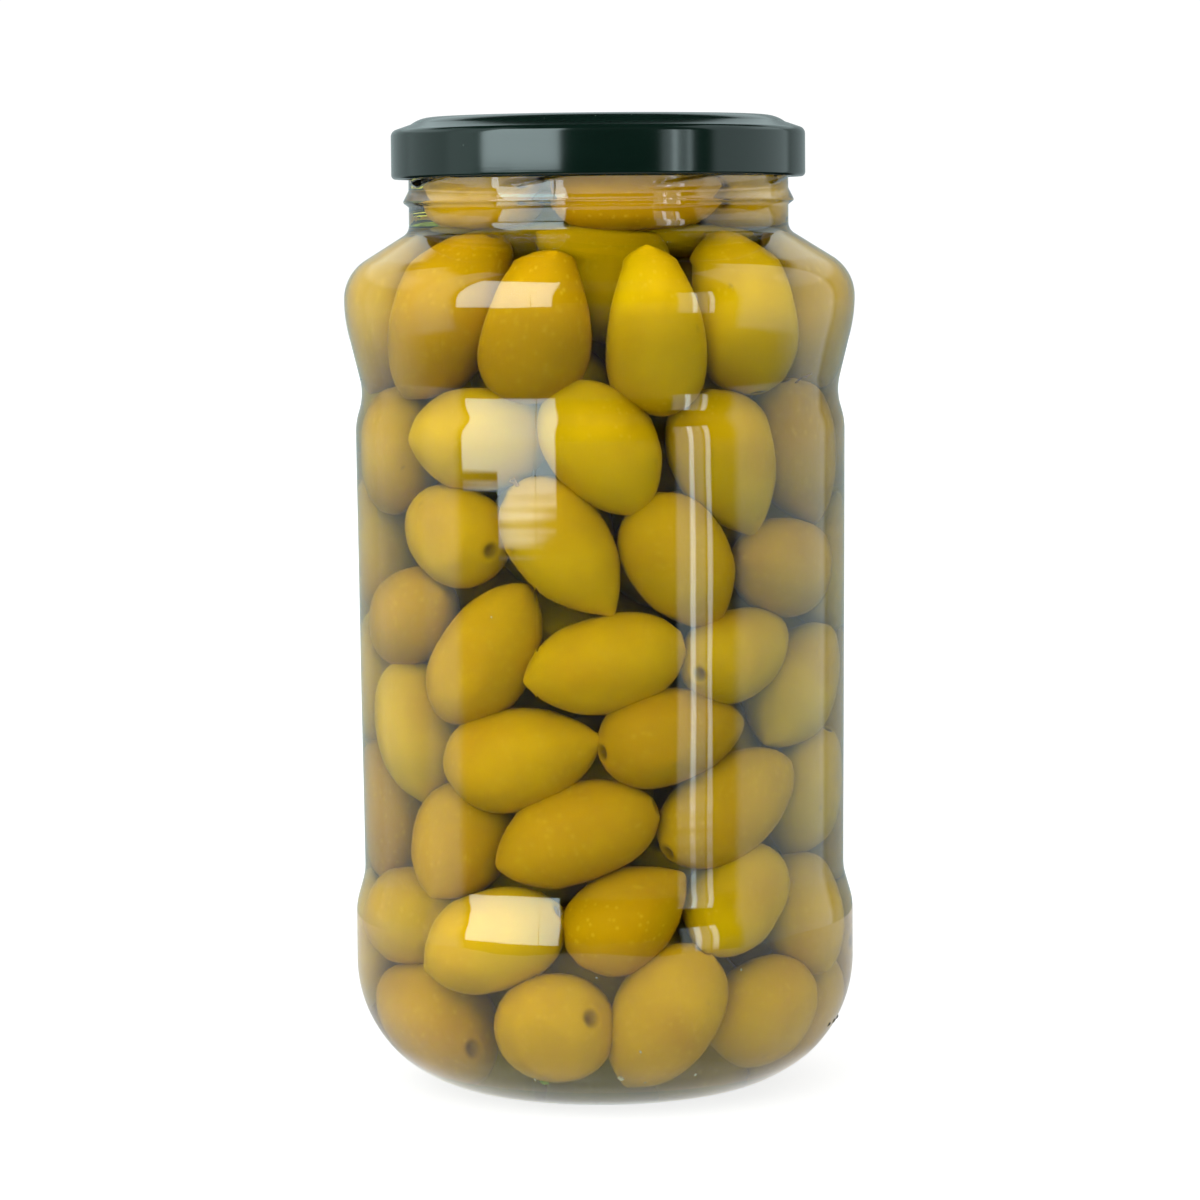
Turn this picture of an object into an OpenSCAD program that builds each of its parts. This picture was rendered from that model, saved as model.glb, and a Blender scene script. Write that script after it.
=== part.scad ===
// Glass jar of olives in brine, with a twist-off lid.
// The jar's standing ring lies on z = 0, and its axis is the Z axis.
// Every curve of the glass is a chain of arcs. The inside of the glass
// follows the outside at the wall's thickness, and the brine follows the
// inside. The lid takes its sizes from the finish, the glass it grips.

/* [Jar body] */
// Diameter across the round band above the heel
body_d = 103.2; // [100:0.2:126]
// Radius of the rounded heel
heel_r = 26.5; // [16:0.5:30]
// Height of the top of the band above the heel
band_h = 36; // [31:0.5:60]
// How far the label panel's lower edge lies inside the band
panel_low_inset = 1.9; // [1.2:0.1:3]
// How far the label panel's upper edge lies inside the band
panel_top_inset = 1.2; // [0.6:0.1:2.5]
// Height of the label panel
panel_h = 89.5; // [50:0.5:130]
// How far the waist lies inside the panel's upper edge
waist_inset = 1.3; // [1.1:0.1:3]
// How far the shoulder stands out beyond the band
shoulder_out = 0.9; // [0:0.1:3]

/* [Curves of the body] */
// Slope of the steps beside the panel, measured from upright
step_slope = 16; // [10:1:24]
// Radius of a step's outward round
step_round_r = 14; // [6:0.5:16]
// Radius of a step's hollow
step_hollow_r = 12; // [4:0.5:14]
// Slope between the waist and the shoulder, measured from upright
flare_slope = 13.6; // [11:0.2:18]
// Radius of the shoulder's lower round
flare_round_r = 30; // [10:1:34]
// Radius of the waist's upper hollow
flare_hollow_r = 12; // [6:0.5:16]
// Slope between the shoulder and the neck, measured from upright
shoulder_slope = 58; // [40:1:62]
// Radius of the shoulder's upper round
shoulder_round_r = 9.5; // [5:0.5:10]
// Radius of the hollow at the foot of the neck
neck_foot_r = 2.5; // [1:0.1:2.8]

/* [Base] */
// Width of the flat standing ring
ring_w = 1.5; // [1:0.1:3]
// Height of the push-up at the middle of the underside
push_up_h = 4.4; // [2:0.1:7]
// Radius between the standing ring and the push-up
ring_blend_r = 3; // [1:0.5:6]
// Thickness of the glass at the base
base_t = 4.6; // [3:0.1:7]
// Radius of the heel on the inside
inner_heel_r = 21; // [12:0.5:24]
// Radius between the inner heel and the raised middle
inner_blend_r = 8; // [3:0.5:12]
// Height of the joint line between base mould and body mould
joint_h = 28; // [27:0.5:30.5]
// Depth of that joint line
joint_depth = 0.25; // [0.1:0.05:0.5]

/* [Neck and finish] */
// Diameter of the neck and of the finish under the thread
finish_d = 78; // [70:0.5:94]
// Bore of the neck
bore_d = 72; // [62:0.5:73]
// Height from the foot of the neck to the top of the rim
neck_h = 19.6; // [18.4:0.2:26]
// Radius of the edges of the rim
rim_edge_r = 1.2; // [0.5:0.1:1.4]
// How far the transfer bead stands out from the neck
bead_out = 1.1; // [0.5:0.1:1.6]
// Radius of the transfer bead's tip
bead_tip_r = 0.5; // [0.3:0.05:0.7]
// Distance from the top of the rim down to the bead's tip
bead_drop = 14.8; // [14:0.1:15.4]

/* [Thread] */
// Number of thread starts, each gripped by one lug of the lid
thread_count = 8; // [4:1:8]
// Angle round the neck that one thread covers
thread_span = 50; // [40:1:54]
// Height that one thread climbs
thread_rise = 4.6; // [4.4:0.1:5]
// Radius of the thread's section
thread_r = 1.15; // [0.9:0.05:1.2]
// How far the thread's crest stands out from the finish
thread_out = 1.25; // [0.9:0.05:1.4]
// Distance from the top of the rim down to a thread's middle
thread_drop = 8.3; // [8:0.1:8.5]
// Direction of one thread's lower end, from the front to the right
thread_start = 18; // [0:1:44]

/* [Glass] */
// Thickness of the body's wall
wall = 2.4; // [1.8:0.1:3.2]
// Number of mould dots on the heel
dot_count = 3; // [0:1:6]
// Radius of a mould dot
dot_r = 0.8; // [0.5:0.1:1.2]
// How far a mould dot stands out
dot_out = 0.3; // [0.1:0.05:0.4]
// Height of the mould dots
dot_h = 14; // [11:0.5:20]
// Direction of the first mould dot, from the front to the right
dot_start = 71; // [0:1:90]
// Angle from one mould dot to the next
dot_pitch = 5; // [4:0.5:12]

/* [Lid] */
// Clearance between the thread's crests and the lid's curled hem
lid_clear = 0.45; // [0.3:0.05:1]
// Thickness of the lacquered tinplate
tinplate = 0.35; // [0.2:0.05:0.5]
// Radius of the hem's curl
hem_r = 0.9; // [0.7:0.05:1.1]
// Distance from the top of the rim down to the lid's lower edge
skirt_drop = 10.2; // [10:0.1:10.8]
// Height of the ridge's crest above the rim
ridge_rise = 2.4; // [2:0.1:3.2]
// Radius of the rounded ridge on top of the lid
ridge_r = 7; // [5.5:0.5:9]
// Distance from the skirt in to the crest of the ridge
ridge_inset = 8.3; // [7.5:0.1:9.5]
// Distance from the crest of the ridge out to its foot
ridge_half = 4.2; // [3.6:0.1:4.6]
// Fall of the slope between ridge and skirt, measured from level
lid_slope = 19; // [10:1:26]
// Radius of the corner between slope and skirt
lid_corner_r = 1.5; // [0.8:0.1:1.8]
// Depth of the lid's panel below the ridge's crest
panel_sink = 1.4; // [0.8:0.1:1.6]
// Slope of the ridge's inner side, measured from level
ridge_inner_slope = 40; // [34:1:50]
// Diameter of the button in the middle of the panel
button_d = 30; // [20:1:40]
// Depth of the button below the panel
button_sink = 0.5; // [0.3:0.1:0.8]
// Width of the lug's tongue along the hem, as an angle
lug_span = 9; // [6:0.5:11]
// Thickness of a lug
lug_t = 0.8; // [0.5:0.1:0.9]
// Gap between the lug's tip and the neck
lug_gap = 0.35; // [0.2:0.05:0.5]
// Angle from a thread's lower end to the lug that grips it
lug_turn = 32; // [30:0.5:34]

/* [Contents] */
// Distance from the top of the rim down to the brine's surface
head_space = 2.6; // [1.5:0.1:12]

/* [Hidden] */
$fn = 96;
// Largest turn between two points of an arc
arc_step = 5;
small = 0.01;

function steps(turn) = ceil(abs(turn) / arc_step);

// Height from one upright wall to the next across a sloped step
function step_height(r_from, r_to, slope, p, q) =
    (p + q) * sin(slope)
    + (abs(r_to - r_from) - (p + q) * (1 - cos(slope))) / tan(slope);

// Points of such a step, going up: an arc of radius p, then one of radius q
function step_points(r_from, z_from, r_to, slope, p, q) =
    let (side = r_to < r_from ? 1 : -1,
         z_to = z_from + step_height(r_from, r_to, slope, p, q))
    concat(
        [for (i = [0:steps(slope)]) let (a = slope * i / steps(slope))
            [r_from + side * p * (cos(a) - 1), z_from + p * sin(a)]],
        [for (i = [0:steps(slope)]) let (a = slope * (1 - i / steps(slope)))
            [r_to - side * q * (cos(a) - 1), z_to - q * sin(a)]]);

function arc_points(r_mid, z_mid, radius, a_from, a_to) =
    let (n = steps(a_to - a_from))
    [for (i = [0:n]) let (a = a_from + (a_to - a_from) * i / n)
        [r_mid + radius * cos(a), z_mid + radius * sin(a)]];

// A raised middle: from the axis out to where the floor lies level at
// r_level, with a dome that ends in a blend of the given radius
function dome_points(r_level, z_level, rise, blend) =
    let (turn = 2 * atan(rise / r_level),
         dome_r = r_level / sin(turn) - blend)
    concat(
        arc_points(0, z_level + rise - dome_r, dome_r, 90, 90 - turn),
        arc_points(r_level, z_level + blend, blend, 270 - turn, 270));

// Radii of the body
band_r = body_d / 2;
panel_low_r = band_r - panel_low_inset;
panel_top_r = band_r - panel_top_inset;
waist_r = panel_top_r - waist_inset;
shoulder_r = band_r + shoulder_out;
finish_r = finish_d / 2;
bore_r = bore_d / 2;
ring_out_r = band_r - heel_r;
ring_in_r = ring_out_r - ring_w;

// Heights of the body, each standing on the one below
panel_low_z = band_h
    + step_height(band_r, panel_low_r, step_slope, step_round_r, step_hollow_r);
panel_top_z = panel_low_z + panel_h;
waist_z = panel_top_z
    + step_height(panel_top_r, waist_r, step_slope, step_round_r, step_hollow_r);
shoulder_z = waist_z
    + step_height(waist_r, shoulder_r, flare_slope, flare_hollow_r, flare_round_r);
neck_z = shoulder_z
    + step_height(shoulder_r, finish_r, shoulder_slope, shoulder_round_r, neck_foot_r);
rim_z = neck_z + neck_h;
brine_z = rim_z - head_space;

// One side of the wall from the top of the band to the neck. The inset is
// nothing outside and the wall's thickness inside, where the neck has its
// own radius and the hollow at its foot is wider by the neck's thickness
function wall_points(inset, neck_r) =
    let (thick = finish_r - neck_r)
    concat(
        step_points(band_r - inset, band_h, panel_low_r - inset, step_slope,
            step_round_r - inset, step_hollow_r + inset),
        step_points(panel_top_r - inset, panel_top_z, waist_r - inset, step_slope,
            step_round_r - inset, step_hollow_r + inset),
        step_points(waist_r - inset, waist_z, shoulder_r - inset, flare_slope,
            flare_hollow_r + inset, flare_round_r - inset),
        step_points(shoulder_r - inset, shoulder_z, neck_r, shoulder_slope,
            shoulder_round_r - inset, neck_foot_r + thick));

// The transfer bead under the thread
bead_z = rim_z - bead_drop;
bead_mid_r = finish_r + bead_out - bead_tip_r;
bead_above = 2.3;
bead_below = 1.1;
bead_points = concat(
    [[finish_r, bead_z - bead_below]],
    arc_points(bead_mid_r, bead_z, bead_tip_r, -60, 25),
    [[finish_r, bead_z + bead_above]]);

joint_points = [
    [band_r, joint_h - joint_depth], [band_r - joint_depth, joint_h],
    [band_r, joint_h + joint_depth]];

module outer_profile() {
    polygon(concat(
        dome_points(ring_in_r, 0, push_up_h, ring_blend_r),
        arc_points(ring_out_r, heel_r, heel_r, -90, 0),
        joint_points,
        wall_points(0, finish_r),
        bead_points,
        arc_points(finish_r - rim_edge_r, rim_z - rim_edge_r, rim_edge_r, 0, 90),
        [[0, rim_z]]));
}

// The jar's inside, up to the height given
inner_level_r = band_r - wall - inner_heel_r;
inner_rise = push_up_h;
module inner_profile(top_z) {
    polygon(concat(
        dome_points(inner_level_r, base_t, inner_rise, inner_blend_r),
        arc_points(inner_level_r, base_t + inner_heel_r, inner_heel_r, -90, 0),
        wall_points(wall, bore_r),
        [[bore_r, top_z], [0, top_z]]));
}

// The rim's inner edge is rounded like its outer one
module rim_round() {
    difference() {
        translate([bore_r - small, rim_z - rim_edge_r])
            square([rim_edge_r + small, rim_edge_r + small]);
        translate([bore_r + rim_edge_r, rim_z - rim_edge_r])
            circle(rim_edge_r);
    }
}

// Directions are measured from the front, which is -Y, to the right
module towards(direction) {
    rotate([0, 0, direction - 90]) children();
}

thread_mid_r = finish_r + thread_out - thread_r;
thread_tilt = atan(thread_rise / (2 * thread_mid_r * sin(thread_span / 2)));
thread_z = rim_z - thread_drop;
thread_pitch = 360 / thread_count;

// One thread: a ring's stretch, tilted so that it climbs to the right
module thread() {
    translate([0, 0, thread_z])
        rotate([thread_tilt, 0, 0])
            rotate([0, 0, -thread_span / 2]) {
                rotate_extrude(angle = thread_span)
                    translate([thread_mid_r, 0]) circle(thread_r);
                for (a = [0, thread_span])
                    rotate([0, 0, a])
                        translate([thread_mid_r, 0, 0]) sphere(thread_r);
            }
}

// Small bumps that number the mould, on the heel's curve
module mould_dots() {
    dot_slope = asin((heel_r - dot_h) / heel_r);
    dot_mid = heel_r + dot_out - dot_r;
    if (dot_count > 0)
        for (i = [0:dot_count - 1])
            towards(dot_start + i * dot_pitch)
                translate([ring_out_r + dot_mid * cos(dot_slope), 0,
                           heel_r - dot_mid * sin(dot_slope)])
                    sphere(dot_r);
}

module jar() {
    color([0.78, 0.88, 0.82, 0.35])
    difference() {
        union() {
            rotate_extrude() outer_profile();
            for (i = [0:thread_count - 1])
                towards(thread_start + i * thread_pitch + thread_span / 2) thread();
            mould_dots();
        }
        rotate_extrude() {
            inner_profile(rim_z + small);
            rim_round();
        }
    }
}

// Brine and olives together, as one body of the inside's shape
module brine() {
    color([0.76, 0.65, 0.16, 0.8])
    rotate_extrude() inner_profile(brine_z);
}

// Lid, from the skirt inwards
lid_r = finish_r + thread_out + lid_clear + 2 * hem_r;
hem_z = rim_z - skirt_drop + hem_r;
ridge_top_z = rim_z + ridge_rise;
ridge_mid_r = lid_r - ridge_inset;
ridge_foot = asin(ridge_half / ridge_r);
ridge_foot_r = ridge_mid_r + ridge_half;
ridge_foot_z = ridge_top_z - ridge_r * (1 - cos(ridge_foot));
corner_turn = 90 - lid_slope;
corner_start_r = lid_r - lid_corner_r * (1 - cos(corner_turn));
lid_corner_z = ridge_foot_z - (corner_start_r - ridge_foot_r) * tan(lid_slope)
    - lid_corner_r * sin(corner_turn);
lid_panel_z = ridge_top_z - panel_sink;
// The ridge's inner arc stops a third of the way down, and a slope follows
ridge_in = acos(1 - panel_sink / 3 / ridge_r);
ridge_in_r = ridge_mid_r - ridge_r * sin(ridge_in)
    - panel_sink * 2 / 3 / tan(ridge_inner_slope);
button_r = button_d / 2;
button_edge = 1.2;

// The lid's outside from the middle to the hem, drawn in by an inset
function lid_points(inset) = concat(
    [[0, lid_panel_z - button_sink - inset],
     [button_r - button_edge, lid_panel_z - button_sink - inset],
     [button_r, lid_panel_z - inset],
     [ridge_in_r + inset * 0.5, lid_panel_z - inset]],
    arc_points(ridge_mid_r, ridge_top_z - ridge_r, ridge_r - inset,
        90 + ridge_in, 90 - ridge_foot),
    arc_points(lid_r - lid_corner_r, lid_corner_z, lid_corner_r - inset, corner_turn, 0),
    [[lid_r - inset, hem_z]]);

// The ring of sealing compound that the rim beds into
seal_in_r = bore_r - 0.6;
seal_out_r = finish_r + 0.8;

module lid_profile() {
    difference() {
        polygon(concat(lid_points(0), [[0, hem_z]]));
        difference() {
            polygon(concat(lid_points(tinplate), [[0, hem_z]]));
            translate([seal_in_r, rim_z])
                square([seal_out_r - seal_in_r, ridge_rise]);
        }
        translate([-small, hem_z - small])
            square([lid_r - tinplate + small, small * 2]);
    }
    translate([lid_r - hem_r, hem_z]) circle(hem_r);
}

// A lug: a flat tongue that the hem sends in under a thread
module lug() {
    tip_r = finish_r + lug_gap;
    rotate([0, 0, -lug_span / 2])
        rotate_extrude(angle = lug_span)
            translate([tip_r, hem_z - hem_r + 0.1])
                square([lid_r - hem_r - tip_r, lug_t]);
}

module lid() {
    color([0.07, 0.22, 0.17])
    union() {
        rotate_extrude() lid_profile();
        for (i = [0:thread_count - 1])
            towards(thread_start + lug_turn + i * thread_pitch) lug();
    }
}

jar();
brine();
lid();
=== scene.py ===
# Glass jar of green olives in brine with a twist-off lid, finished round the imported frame.
# Sizes below are in millimetres and degrees; meshes are written in metres.
# Directions are degrees from the front (-Y), positive to the right as the front is faced.
import math

import bpy
import numpy as np
from mathutils import Matrix, Vector


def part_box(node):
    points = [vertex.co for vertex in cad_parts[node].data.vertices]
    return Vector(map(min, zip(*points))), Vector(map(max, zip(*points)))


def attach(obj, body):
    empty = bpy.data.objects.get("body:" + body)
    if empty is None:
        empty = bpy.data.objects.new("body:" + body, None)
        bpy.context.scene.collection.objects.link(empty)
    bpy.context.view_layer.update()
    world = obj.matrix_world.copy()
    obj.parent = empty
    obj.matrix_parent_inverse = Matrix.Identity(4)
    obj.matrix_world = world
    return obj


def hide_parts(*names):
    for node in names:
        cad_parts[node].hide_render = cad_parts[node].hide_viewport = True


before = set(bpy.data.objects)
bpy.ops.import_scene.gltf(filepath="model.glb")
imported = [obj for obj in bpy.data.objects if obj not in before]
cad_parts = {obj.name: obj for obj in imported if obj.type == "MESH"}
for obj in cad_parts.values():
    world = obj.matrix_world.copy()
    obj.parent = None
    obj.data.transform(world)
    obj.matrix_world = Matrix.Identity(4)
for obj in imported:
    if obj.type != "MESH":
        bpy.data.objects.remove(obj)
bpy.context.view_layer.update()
mm = 0.001
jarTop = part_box("jar")[1] / mm
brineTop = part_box("brine")[1] / mm
lidLow, lidTop = [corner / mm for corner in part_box("lid")]
print("frame: jar", round(jarTop.z, 1), "mm high,", round(2 * jarTop.x, 1), "mm across")


# Lines that the glass, the brine and the lid are turned from
def arc(rMid, zMid, radius, start, end, step=2.5):
    count = max(2, math.ceil(abs(end - start) / step))
    angles = np.radians(np.linspace(start, end, count + 1))
    return [(rMid + radius * math.cos(a), zMid + radius * math.sin(a)) for a in angles]


def stepHeight(rFrom, rTo, slope, first, second):
    s = math.radians(slope)
    turned = (first + second) * (1 - math.cos(s))
    return (first + second) * math.sin(s) + (abs(rTo - rFrom) - turned) / math.tan(s)


def stepLine(rFrom, zFrom, rTo, slope, first, second):
    # from one upright wall to the next: an arc, a slope and an arc the other way
    side = 1 if rTo < rFrom else -1
    zTo = zFrom + stepHeight(rFrom, rTo, slope, first, second)
    turns = np.radians(np.linspace(0, slope, math.ceil(slope / 2) + 1))
    lower = [(rFrom + side * first * (math.cos(a) - 1), zFrom + first * math.sin(a)) for a in turns]
    upper = [(rTo - side * second * (math.cos(a) - 1), zTo - second * math.sin(a)) for a in turns[::-1]]
    return lower + upper


def domeLine(rLevel, zLevel, rise, blend):
    # from the axis out to where the floor is level, with a blend at the dome's foot
    turn = 2 * math.degrees(math.atan(rise / rLevel))
    dome = rLevel / math.sin(math.radians(turn)) - blend
    return (arc(0, zLevel + rise - dome, dome, 90, 90 - turn)
            + arc(rLevel, zLevel + blend, blend, 270 - turn, 270))


def withoutRepeats(line):
    # two points in one place would leave a crease in the shading
    kept = [line[0]]
    for point in line[1:]:
        if math.dist(point, kept[-1]) > 0.02:
            kept.append(point)
    return kept


def uprightLine(r, zFrom, zTo, spacing):
    heights = np.linspace(zFrom, zTo, max(2, round((zTo - zFrom) / spacing)))[1:-1]
    return [(r, z) for z in heights]


def makePiece(name, points, faces, materials):
    mesh = bpy.data.meshes.new(name)
    mesh.from_pydata((np.asarray(points, float) * mm).tolist(), [], faces)
    for material in materials:
        mesh.materials.append(material)
    mesh.polygons.foreach_set("use_smooth", [True] * len(mesh.polygons))
    mesh.update()
    piece = bpy.data.objects.new(name, mesh)
    bpy.context.scene.collection.objects.link(piece)
    return piece


def turnedPoints(line, angles, relief=None):
    # every point of the line once round, in rings; relief adds to the radius
    r, z = np.array(line).T
    rings = np.repeat(r[:, None], len(angles), 1)
    heights = np.repeat(z[:, None], len(angles), 1)
    if relief is not None:
        rings = rings + relief(rings, heights, angles[None, :])
    a = np.radians(angles)
    return np.stack([rings * np.sin(a), -rings * np.cos(a), heights], 2)


def ringFaces(rings, around):
    # quads between neighbouring rings, wound so that a line going up faces outwards
    i, j = np.meshgrid(np.arange(rings - 1), np.arange(around), indexing="ij")
    k = (j + 1) % around
    quads = np.stack([i * around + j, i * around + k, (i + 1) * around + k, (i + 1) * around + j], 2)
    return quads.reshape(-1, 4).tolist()


def capFaces(ring, around, pole, upward):
    faces = [(ring * around + j, ring * around + (j + 1) % around, pole) for j in range(around)]
    return faces if upward else [face[::-1] for face in faces]


def closedFaces(rings, around, first=0):
    # a tube of rings with a pole at each end; the poles are its last two points
    pole = rings * around
    faces = ringFaces(rings, around) + capFaces(0, around, pole, False)
    faces += capFaces(rings - 1, around, pole + 1, True)
    return [tuple(corner + first for corner in face) for face in faces]


def turnedBody(line, angles):
    # a closed body from a line that starts and ends on the axis
    points = turnedPoints(line[1:-1], angles).reshape(-1, 3)
    poles = [(0, 0, line[0][1]), (0, 0, line[-1][1])]
    return np.vstack([points, poles]), closedFaces(len(line) - 2, len(angles))


def linear(hexColour):
    # a written colour as the renderer counts it
    parts = [int(hexColour[i:i + 2], 16) / 255 for i in (1, 3, 5)]
    return tuple(c / 12.92 if c <= 0.04045 else ((c + 0.055) / 1.055) ** 2.4 for c in parts) + (1.0,)


def addNode(tree, kind, inputs=None, **settings):
    node = tree.nodes.new("ShaderNode" + kind)
    for key, value in settings.items():
        setattr(node, key, value)
    for socket, value in (inputs or {}).items():
        if isinstance(value, bpy.types.NodeSocket):
            tree.links.new(value, node.inputs[socket])
        else:
            node.inputs[socket].default_value = value
    return node


def calc(tree, operation, *values):
    return addNode(tree, "Math", dict(enumerate(values)), operation=operation).outputs[0]


def remap(tree, value, low, high, first=0.0, last=1.0, **settings):
    # first where the value is low and last where it is high, with no going past either
    ends = {"Value": value, "From Min": low, "From Max": high, "To Min": first, "To Max": last}
    return addNode(tree, "MapRange", ends, **settings).outputs[0]


def noise(tree, place, size, **inputs):
    # blotches about as wide as the size
    inputs = {key.capitalize(): value for key, value in inputs.items()}
    return addNode(tree, "TexNoise", {"Vector": place, "Scale": 1000 / size, **inputs}).outputs["Fac"]


def blend(tree, factor, first, second):
    # from the first colour to the second as the factor grows; a written one is taken as it is
    ends = [linear(end) if isinstance(end, str) else end for end in (first, second)]
    return addNode(tree, "Mix", {"Factor": factor, "A": ends[0], "B": ends[1]},
                   data_type="RGBA").outputs["Result"]


def newMaterial(name):
    material = bpy.data.materials.new(name)
    material.use_nodes = True
    material.node_tree.nodes.clear()
    return material, material.node_tree


def finishMaterial(tree, surface, volume=None):
    output = addNode(tree, "OutputMaterial", {"Surface": surface})
    if volume is not None:
        tree.links.new(volume, output.inputs["Volume"])


# Soda-lime glass, blown in a mould: clear, faintly green through its depth, with the long
# soft ripples of moulded glass that break the edges of what it mirrors
glassLook = {"tint": "#C4EBDB", "base": "#D3F0E2", "density": 14.0, "ior": 1.52,
             "ripple": 2.4, "rippleDepth": 0.008}


def mouldedSodaLimeGlass(name, mirrorShare, rippled, tint="#FFFFFF"):
    material, tree = newMaterial(name)
    shader = addNode(tree, "BsdfPrincipled", {
        "Base Color": linear(tint), "Roughness": 0.0, "IOR": glassLook["ior"],
        "Transmission Weight": 1.0, "Specular Tint": (mirrorShare, mirrorShare, mirrorShare, 1)})
    if rippled:
        place = addNode(tree, "TexCoord").outputs["Object"]
        ripples = []
        for stretch in ((0.12, 0.12, 1), (1, 1, 0.05)):
            way = addNode(tree, "Mapping", {"Vector": place, "Scale": stretch}).outputs["Vector"]
            ripples.append(noise(tree, way, glassLook["ripple"], detail=0.0))
        ripple = calc(tree, "ADD", ripples[0], ripples[1])
        bump = addNode(tree, "Bump", {"Height": ripple, "Strength": 1.0,
                                      "Distance": glassLook["rippleDepth"] * mm}).outputs["Normal"]
        tree.links.new(bump, shader.inputs["Normal"])
    depth = addNode(tree, "VolumeAbsorption", {"Color": linear(glassLook["tint"]),
                                               "Density": glassLook["density"]})
    finishMaterial(tree, shader.outputs[0], depth.outputs[0])
    return material


# Brine: water with salt and a little oil and colour from the olives, still and clear.
# It mirrors next to nothing, because it lies against glass
brineLook = {"tint": "#F1F047", "density": 64.0, "ior": 1.34, "overlap": 0.15}


def oliveBrine():
    material, tree = newMaterial("olive brine, clear yellow-green")
    shader = addNode(tree, "BsdfPrincipled", {
        "Base Color": (1, 1, 1, 1), "Roughness": 0.0, "IOR": brineLook["ior"],
        "Transmission Weight": 1.0, "Specular Tint": (0.05, 0.05, 0.05, 1)})
    depth = addNode(tree, "VolumeAbsorption", {"Color": linear(brineLook["tint"]),
                                               "Density": brineLook["density"]})
    finishMaterial(tree, shader.outputs[0], depth.outputs[0])
    return material


# Cured olive skin: smooth, waxy and wet, yellow-green with warmer cheeks, fine pale pores,
# a few faint bruises and a brown scar where the stalk was
oliveLook = {"fair": "#EEBE03", "deep": "#D49F02", "warm": "#C88A02", "pore": "#F6CC38",
             "bruise": "#94601C", "scar": "#6B4A1E", "poreWidth": 0.8, "blotch": 9.0,
             "cheek": 21.0, "mark": 6.5, "roughness": 0.4}


def curedOliveSkin():
    material, tree = newMaterial("cured olive skin, wet")
    place = addNode(tree, "TexCoord").outputs["Object"]
    tone = addNode(tree, "Attribute", attribute_name="tone").outputs["Fac"]
    along = addNode(tree, "Attribute", attribute_name="along").outputs["Fac"]
    blotch = noise(tree, place, oliveLook["blotch"], detail=3.0)
    spread = calc(tree, "ADD", tone, blotch)
    share = remap(tree, spread, 0.45, 1.45)
    skin = blend(tree, share, oliveLook["fair"], oliveLook["deep"])
    cheek = noise(tree, place, oliveLook["cheek"], detail=1.0)
    cheekShare = remap(tree, cheek, 0.5, 0.8, 0.0, 0.5)
    skin = blend(tree, cheekShare, skin, oliveLook["warm"])
    # pores are about 0.3 mm in life and are drawn three times as wide, so that they show
    pores = addNode(tree, "TexVoronoi", {"Vector": place, "Scale": 1000 / (oliveLook["poreWidth"] * 2.2),
                                         "Randomness": 1.0}).outputs["Distance"]
    poreShare = remap(tree, pores, 0.12, 0.3, 0.3, 0.0)
    skin = blend(tree, poreShare, skin, oliveLook["pore"])
    marks = noise(tree, place, oliveLook["mark"], detail=5.0, roughness=0.7)
    markShare = remap(tree, marks, 0.66, 0.76, 0.0, 0.55)
    skin = blend(tree, markShare, skin, oliveLook["bruise"])
    scar = remap(tree, along, -0.985, -1.0, 0.0, 0.85)
    skin = blend(tree, scar, skin, oliveLook["scar"])
    bump = addNode(tree, "Bump", {"Height": pores, "Strength": 0.25,
                                  "Distance": 0.05 * mm}).outputs["Normal"]
    # lying in brine, the skin mirrors next to nothing
    shader = addNode(tree, "BsdfPrincipled", {"Base Color": skin, "Roughness": oliveLook["roughness"],
                                              "IOR": 1.45, "Specular IOR Level": 0.02, "Normal": bump})
    finishMaterial(tree, shader.outputs[0])
    return material


# Stalk wood left on a few olives: fibrous, dry-looking, orange-brown at the broken end
stalkLook = {"fibre": 0.8, "pale": "#E0A53A", "dark": "#8C5B22", "roughness": 0.7}


def oliveStalk():
    material, tree = newMaterial("olive stalk, torn fibre")
    place = addNode(tree, "TexCoord").outputs["Object"]
    fibre = noise(tree, place, stalkLook["fibre"], detail=3.0)
    colour = blend(tree, fibre, stalkLook["pale"], stalkLook["dark"])
    bump = addNode(tree, "Bump", {"Height": fibre, "Strength": 0.6,
                                  "Distance": 0.1 * mm}).outputs["Normal"]
    shader = addNode(tree, "BsdfPrincipled", {"Base Color": colour, "Roughness": stalkLook["roughness"],
                                              "Specular IOR Level": 0.1, "Normal": bump})
    finishMaterial(tree, shader.outputs[0])
    return material


# Olive pulp afloat: soft, pale, matt crumbs
pulpLook = {"mottle": 0.6, "pale": "#F2ECCB", "dark": "#D8C98A", "roughness": 0.6}


def olivePulp():
    material, tree = newMaterial("olive pulp crumbs")
    place = addNode(tree, "TexCoord").outputs["Object"]
    colour = blend(tree, noise(tree, place, pulpLook["mottle"]), pulpLook["pale"], pulpLook["dark"])
    shader = addNode(tree, "BsdfPrincipled", {"Base Color": colour, "Roughness": pulpLook["roughness"],
                                              "Specular IOR Level": 0.1})
    finishMaterial(tree, shader.outputs[0])
    return material


# Stoving enamel on rolled tinplate: a hard dark green gloss coat with the faint level
# grain of the sheet under it and a little dust
lidLook = {"enamel": "#05150F", "worn": "#0A1E17", "dust": "#7C8C84", "roughness": 0.13,
           "grain": 0.7, "cloud": 18.0, "speck": 3.4}


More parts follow.
